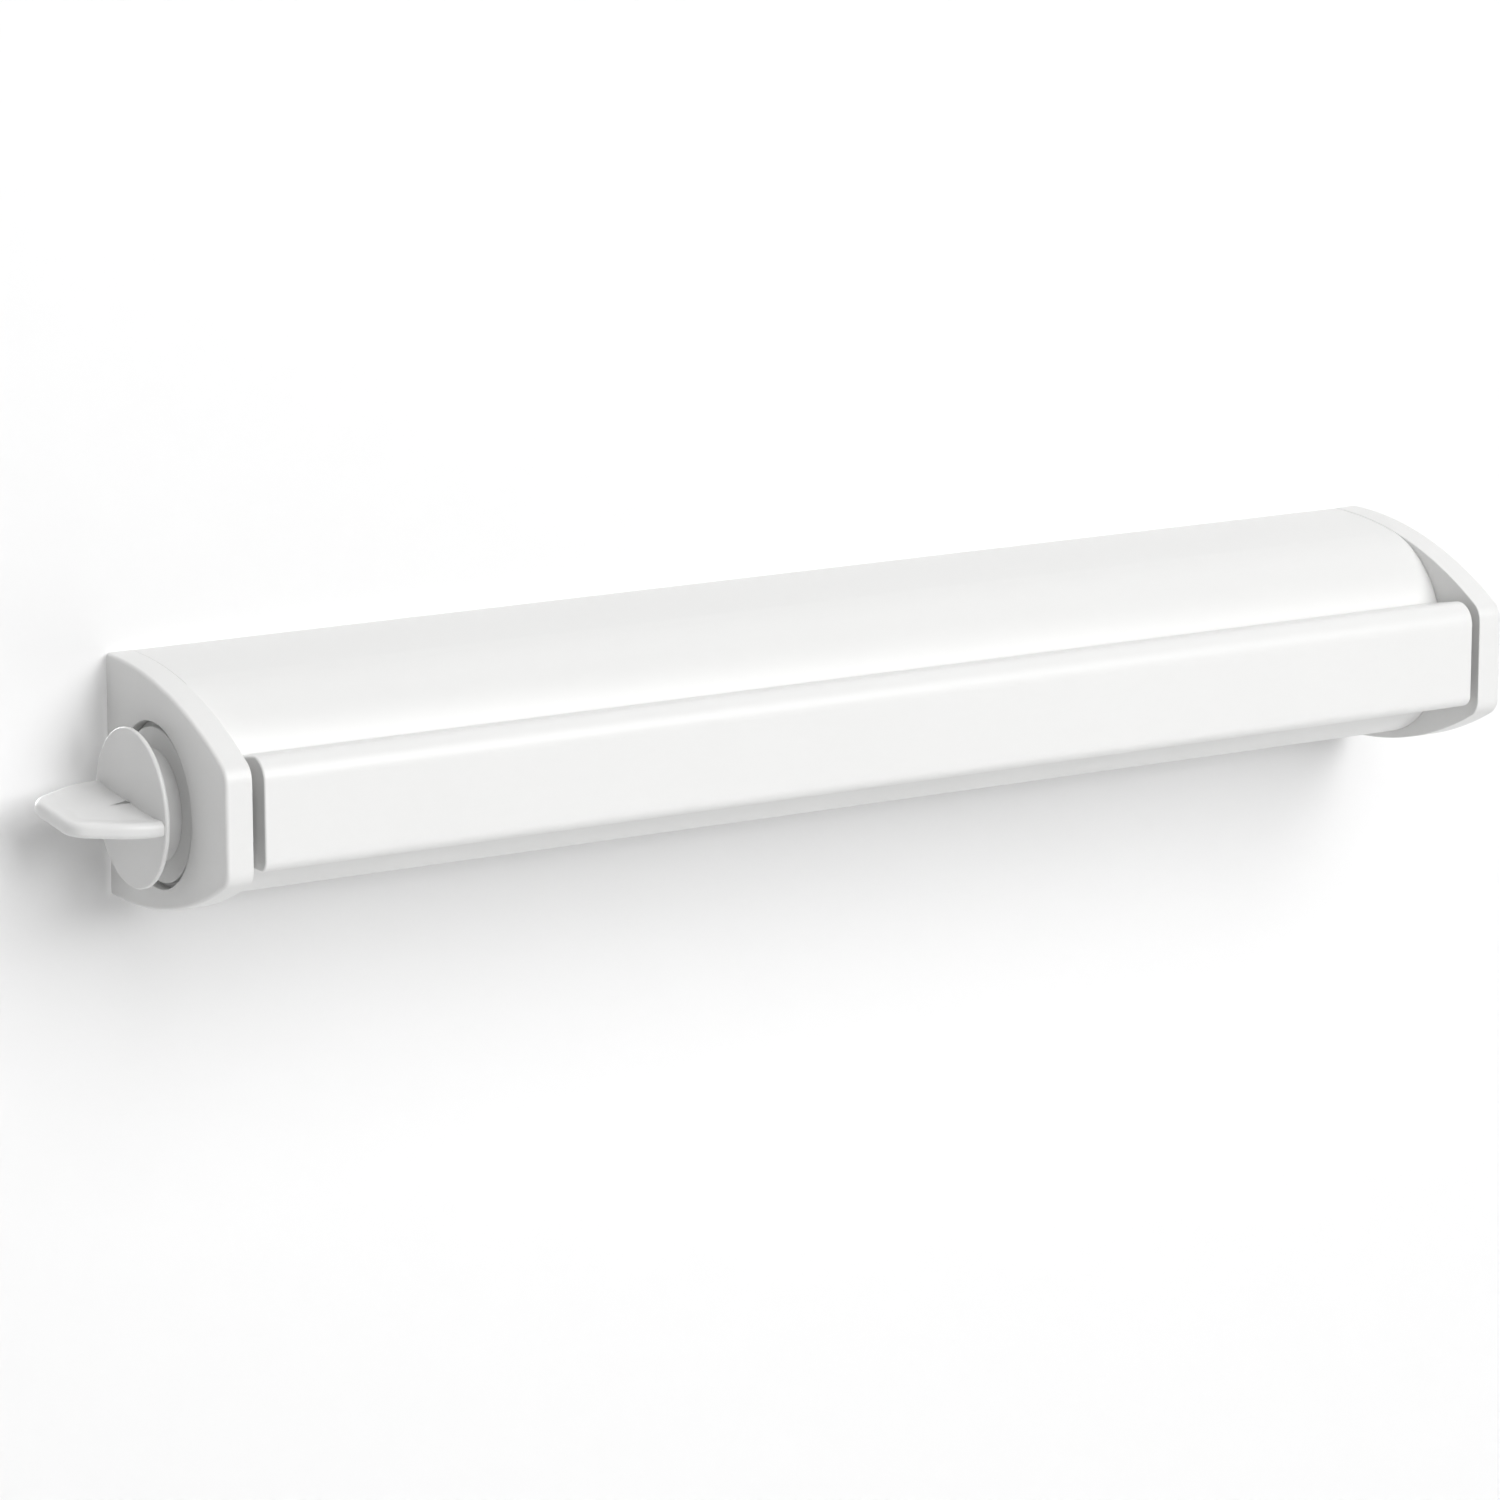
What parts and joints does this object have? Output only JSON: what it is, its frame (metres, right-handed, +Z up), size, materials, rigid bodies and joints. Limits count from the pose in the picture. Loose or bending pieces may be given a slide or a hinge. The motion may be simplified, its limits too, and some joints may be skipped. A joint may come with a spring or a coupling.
{
  "type": "retractable clothesline",
  "caption": "White wall-mounted housing with a half-round cover, a wing knob on one end and a full-width bar that pulls lines off a spring roller.",
  "frame": {"origin": "centre of the four wall screws, on the wall face of the back plate", "axes": "+X along the length, the knob is at -X; +Y into the wall, the bar pulls out along -Y; +Z up"},
  "size_m": [0.5371, 0.0887, 0.0816],
  "materials": {
    "housing_plastic": "satin white moulded plastic",
    "back_plastic": "matt white moulded plastic",
    "bar_plastic": "satin white moulded plastic",
    "knob_plastic": "satin white moulded plastic",
    "inner_plastic": "matt light grey moulded plastic",
    "divider_plastic": "matt natural plastic",
    "acetal": "smooth natural acetal",
    "eyelet_nylon": "smooth nylon",
    "steel": "drawn bright steel",
    "screw_steel": "zinc-plated steel",
    "spring_steel": "oiled spring steel",
    "tube_metal": "extruded tube",
    "ferrule_metal": "crimped soft metal",
    "line_pvc": "smooth plastic-coated line"
  },
  "bodies": {
    "housing": {"back_plate": "back_plastic", "front_cover": "housing_plastic", "left_end_cap": "housing_plastic", "right_end_cap": "housing_plastic", "left_side_plate": "inner_plastic", "right_side_plate": "inner_plastic", "cap_screws": "screw_steel", "line_eyelets": "eyelet_nylon", "pawl_pin": "steel", "pawl_spring": "spring_steel", "arbor": "steel", "arbor_clip": "steel", "spring_anchor": "inner_plastic", "return_spring": "spring_steel"},
    "roller": {"roller_tube": "tube_metal", "left_roller_plug": "inner_plastic", "right_roller_plug": "inner_plastic", "roller_bushes": "acetal", "ratchet_wheel": "acetal", "line_dividers": "divider_plastic", "line_winding_1": "line_pvc", "line_winding_2": "line_pvc", "line_winding_3": "line_pvc", "line_winding_4": "line_pvc", "line_winding_5": "line_pvc"},
    "knob": {"knob_grip": "knob_plastic", "knob_base": "knob_plastic", "knob_screw": "screw_steel"},
    "pawl": {"pawl": "acetal"},
    "pull_bar": {"bar_shell": "bar_plastic", "bar_rail": "bar_plastic", "left_hook_plate": "bar_plastic", "right_hook_plate": "bar_plastic", "line_ferrules": "ferrule_metal", "line_span_1": "line_pvc", "line_span_2": "line_pvc", "line_span_3": "line_pvc", "line_span_4": "line_pvc", "line_span_5": "line_pvc"}
  },
  "joints": [
    {"name": "bar_slide", "type": "slide", "parent": "housing", "child": "pull_bar", "axis": [0, -1, 0], "range_m": [0, 4.07], "stiffness_N_per_m": 2.4, "springref_m": -2.5, "deforming": ["line_span_1", "line_span_2", "line_span_3", "line_span_4", "line_span_5"]},
    {"name": "roller_spin", "type": "hinge", "parent": "housing", "child": "roller", "pos_m": [0, -0.0348, -0.003], "axis": [1, 0, 0], "range_deg": [0, 11520], "deforming": ["return_spring"]},
    {"name": "knob_turn", "type": "hinge", "parent": "housing", "child": "knob", "pos_m": [-0.25, -0.0348, -0.003], "axis": [1, 0, 0], "range_deg": [0, 60]},
    {"name": "pawl_swing", "type": "hinge", "parent": "housing", "child": "pawl", "pos_m": [-0.2347, -0.04063, 0.01873], "axis": [-1, 0, 0], "range_deg": [0, 14], "deforming": ["pawl_spring"]}
  ],
  "couplings": [
    {"joint": "roller_spin", "follows": "bar_slide", "rad_per_m": 49.401},
    {"joint": "pawl_swing", "follows": "knob_turn", "ratio": 0.23333}
  ]
}
